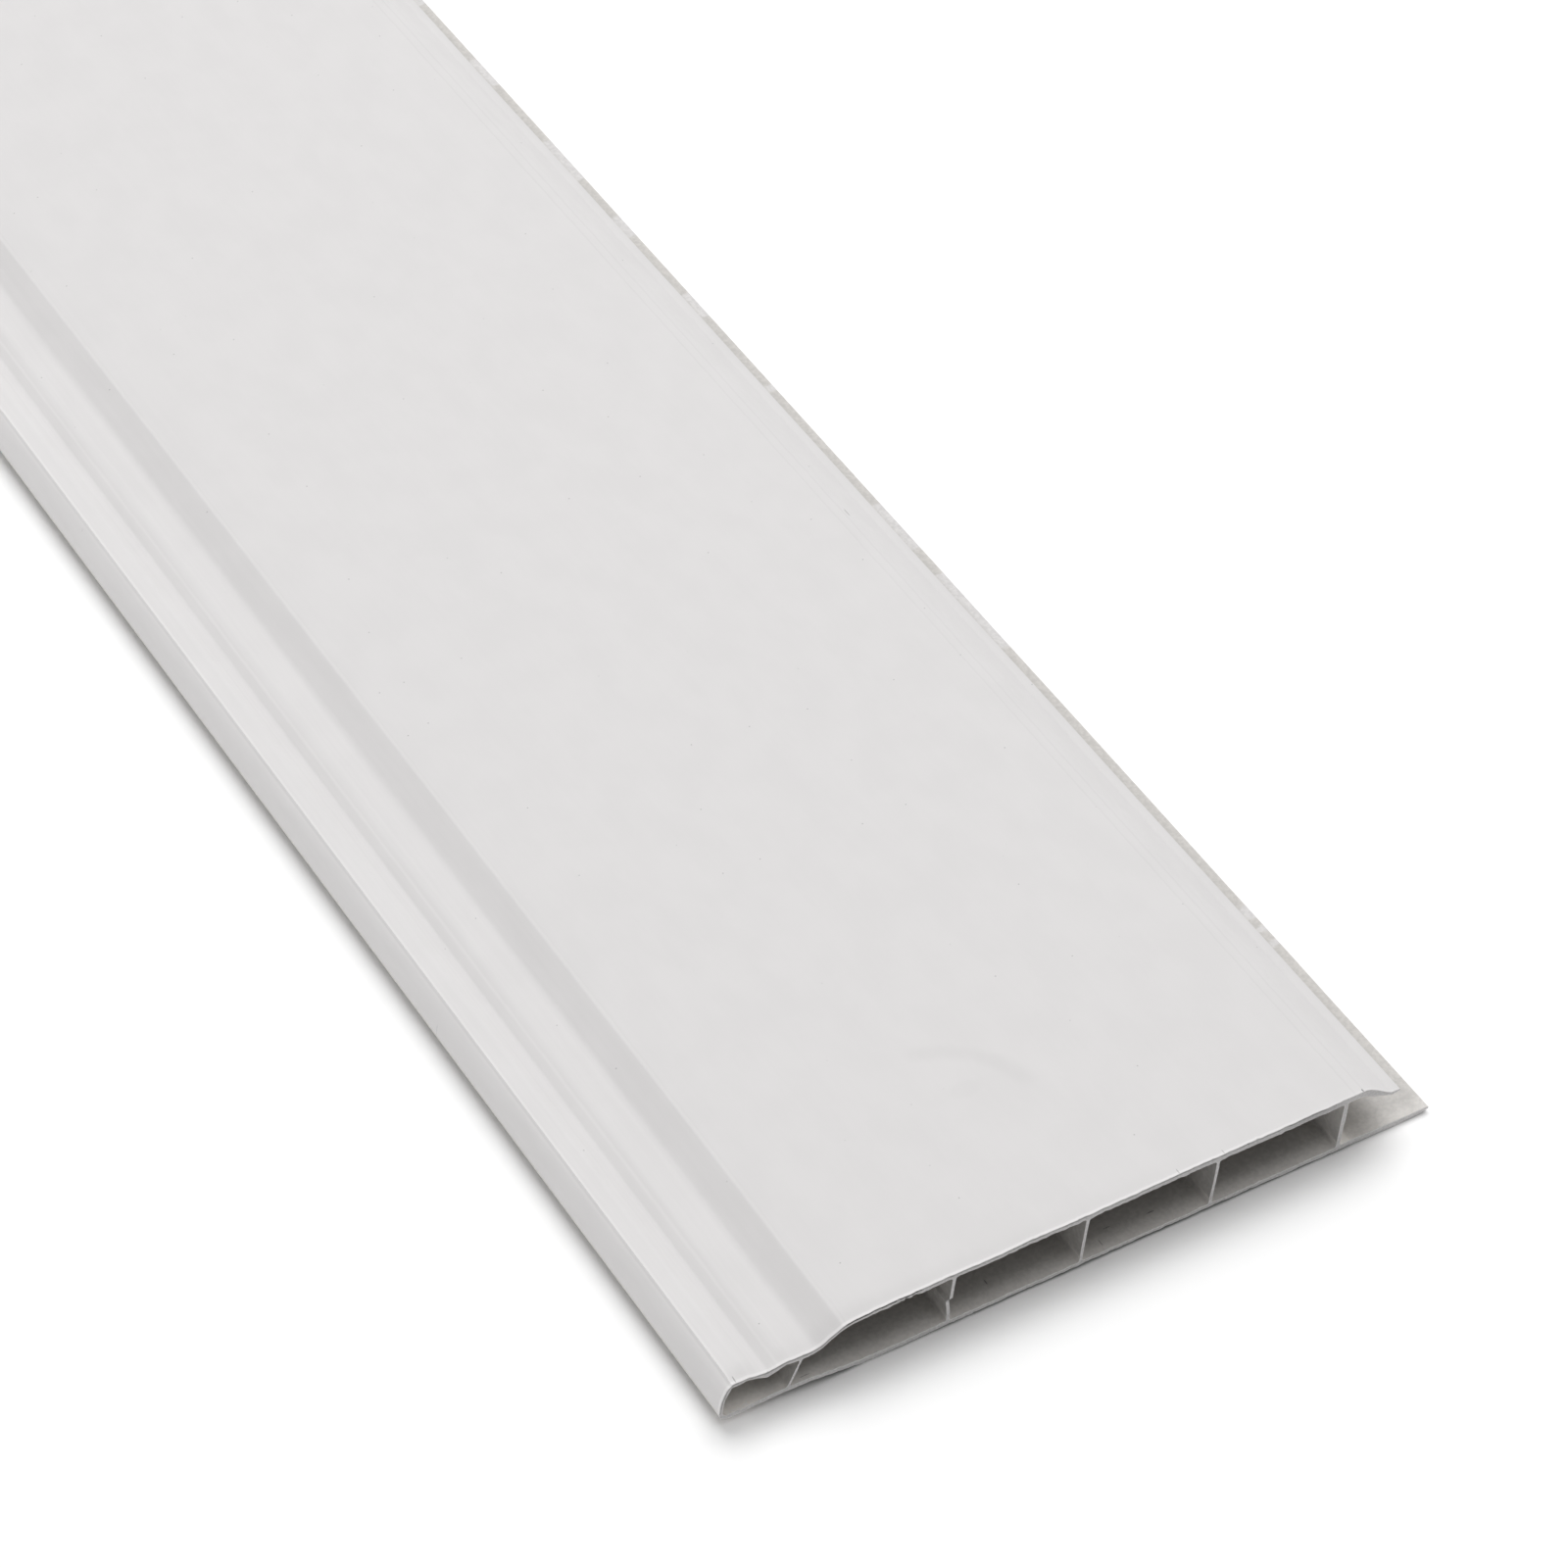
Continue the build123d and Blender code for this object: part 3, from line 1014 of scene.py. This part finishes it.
def sawn_tone(shading, place, grain, depth):
    """How light the sawn face is: grained, with a painted highlight at its edges, darker above the back skin
    and beside the lip, with painted shade in a crack and along a seam under the skin's rim."""
    x, along, z = shading.parts(place)
    rim = shading.attribute("rim")
    lip_side = shading.window(x, *LIP_SIDE_SPAN, LIP_SIDE_SOFT)
    lip_side = shading.product(lip_side, shading.ramp(z, *LIP_SIDE_LEVEL), LIP_SIDE_DARKER)
    # Painted shade of a crack under the rim
    crack_shade = shading.product(
        shading.window(depth, *CRACK_DEPTHS, CRACK_DEPTH_SOFT),
        shading.window(x, *CRACK_SPAN, CRACK_SOFT),
        shading.fall(along, *CRACK_REACH),
        shading.ramp(grain, *CRACK_GRAIN),
    )
    # Painted shade along a seam under the rim
    seam_shade = shading.product(
        shading.ramp(shading.noise(place, *SEAM_NOISE), *SEAM_SPAN, SEAM_LEAST, SEAM_SHADE),
        shading.window(depth, *CRACK_DEPTHS, SEAM_DEPTH_SOFT),
        shading.ramp(x, *SEAM_FADES, 1.0, SEAM_LEFT),
    )
    return shading.product(
        shading.ramp(grain, *NOISE_SPAN, *GRAIN_TONES),
        # Painted highlight along the sawn face's edges
        shading.ramp(rim, *EDGE_HIGHLIGHT_FADES, EDGE_HIGHLIGHT, 1.0),
        shading.ramp(z, back_skin, 2 * back_skin, 1.0, ABOVE_BACK_DARKER),
        shading.less(1.0, lip_side),
        shading.less(1.0, crack_shade),
        shading.less(1.0, seam_shade),
    )


def sawn_material():
    """The sawn face: matt and rough, with a painted highlight along its rim, and a white burr under the show
    face.
    """
    material, shading, base_colour = new_pvc("sawn_pvc", SAWN_ROUGHNESS)
    place = shading.place()
    x, _, _ = shading.parts(place)
    depth = shading.attribute("depth")
    grain = shading.noise(place, *SAWN_NOISE)
    sawn = shading.toned(SAWN_COLOUR, sawn_tone(shading, place, grain, depth))
    ragged = shading.ramp(grain, *NOISE_SPAN, *RAGGED)
    under_burr = shading.ramp(shading.total(depth, ragged), *BURR_LAYER)
    beyond_burr = shading.ramp(x, *BURR_FADES, 0.0, LAYER_WITHOUT_BURR)
    share = shading.largest(under_burr, beyond_burr)
    shading.link(shading.mix(share, BURR_COLOUR, sawn), base_colour)
    return material


def seen_directly(shading):
    """1 for what the camera sees, itself or in a glossy or clear surface, and 0 for the light."""
    path = shading.node("LightPath")
    rays = ("Is Camera Ray", "Is Glossy Ray", "Is Transmission Ray")
    return shading.largest(*[path.outputs[ray] for ray in rays])


def contact_shade(shading):
    """How much light is left on the floor close to the middle of a cut."""
    occlusion = shading.node("AmbientOcclusion")
    occlusion.inputs["Distance"].default_value = CONTACT_REACH * MM
    openness = occlusion.outputs["AO"]
    shut, halfway, wide_open = CONTACT_OPENNESS
    left = shading.total(
        shading.ramp(openness, shut, halfway, CONTACT_DARKEST, CONTACT_HALFWAY),
        shading.ramp(openness, halfway, wide_open, 0.0, 1 - CONTACT_HALFWAY),
    )
    x, _, _ = shading.parts(shading.place())
    across = shading.product(shading.ramp(x, *CONTACT_STARTS), shading.fall(x, *CONTACT_ENDS))
    return shading.less(1.0, shading.product(across, shading.less(1.0, left)))


def add_floor():
    """A pale floor that the camera sees as white, with the board's shadow kept."""
    material = bpy.data.materials.new("floor")
    shading = Shading(material)
    shading.nodes.remove(shading.nodes["Principled BSDF"])
    shade = contact_shade(shading)
    plain = shading.toned((FLOOR_COLOUR, FLOOR_COLOUR, FLOOR_COLOUR), shade)
    whiter = shading.toned((1.0, 1.0, 1.0), shading.product(seen_directly(shading), FLOOR_GAIN, shade))
    shaders = [shading.node("BsdfDiffuse", colour).outputs[0] for colour in (plain, whiter)]
    both = shading.node("AddShader", *shaders).outputs[0]
    shading.link(both, shading.nodes["Material Output"].inputs["Surface"])
    bpy.ops.mesh.primitive_plane_add(size=FLOOR_SIZE, location=(0, 0, 0))
    floor = bpy.context.object
    floor.name = "floor"
    floor.data.materials.append(material)


def add_softbox(name, power, size, place, aim):
    light = bpy.data.lights.new(name, "AREA")
    light.shape = "RECTANGLE"
    light.size, light.size_y = size
    light.energy = power
    softbox = bpy.data.objects.new(name, light)
    softbox.location = place
    softbox.rotation_euler = (Vector(aim) - Vector(place)).to_track_quat("-Z", "Y").to_euler()
    softbox.visible_camera = False
    bpy.context.collection.objects.link(softbox)


def add_light():
    """A large softbox overhead, a small one in front, a low one at the left and an even white fill."""
    for softbox in SOFTBOXES:
        add_softbox(*softbox)
    world = bpy.data.worlds.new("studio")
    bpy.context.scene.world = world
    shading = Shading(world)
    background = shading.nodes["Background"]
    background.inputs["Color"].default_value = (1, 1, 1, 1)
    strength = shading.total(shading.product(seen_directly(shading), 1.0 - FILL), FILL)
    shading.link(strength, background.inputs["Strength"])


def add_camera():
    data = bpy.data.cameras.new("camera")
    data.lens, data.sensor_width, data.sensor_fit = LENS, SENSOR, "HORIZONTAL"
    camera = bpy.data.objects.new("camera", data)
    level = math.cos(ELEVATION)
    forward = Vector((math.sin(HEADING) * level, math.cos(HEADING) * level, -math.sin(ELEVATION)))
    camera.location = Vector(AIM) - forward * DISTANCE
    camera.rotation_euler = forward.to_track_quat("-Z", "Y").to_euler()
    bpy.context.collection.objects.link(camera)
    bpy.context.scene.camera = camera


bpy.context.scene.view_settings.view_transform = "Standard"
add_camera()
add_light()
add_floor()

piece = board_object(build_board(), [skin_material(), sawn_material()])
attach(piece, "root")
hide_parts("soffit_board")
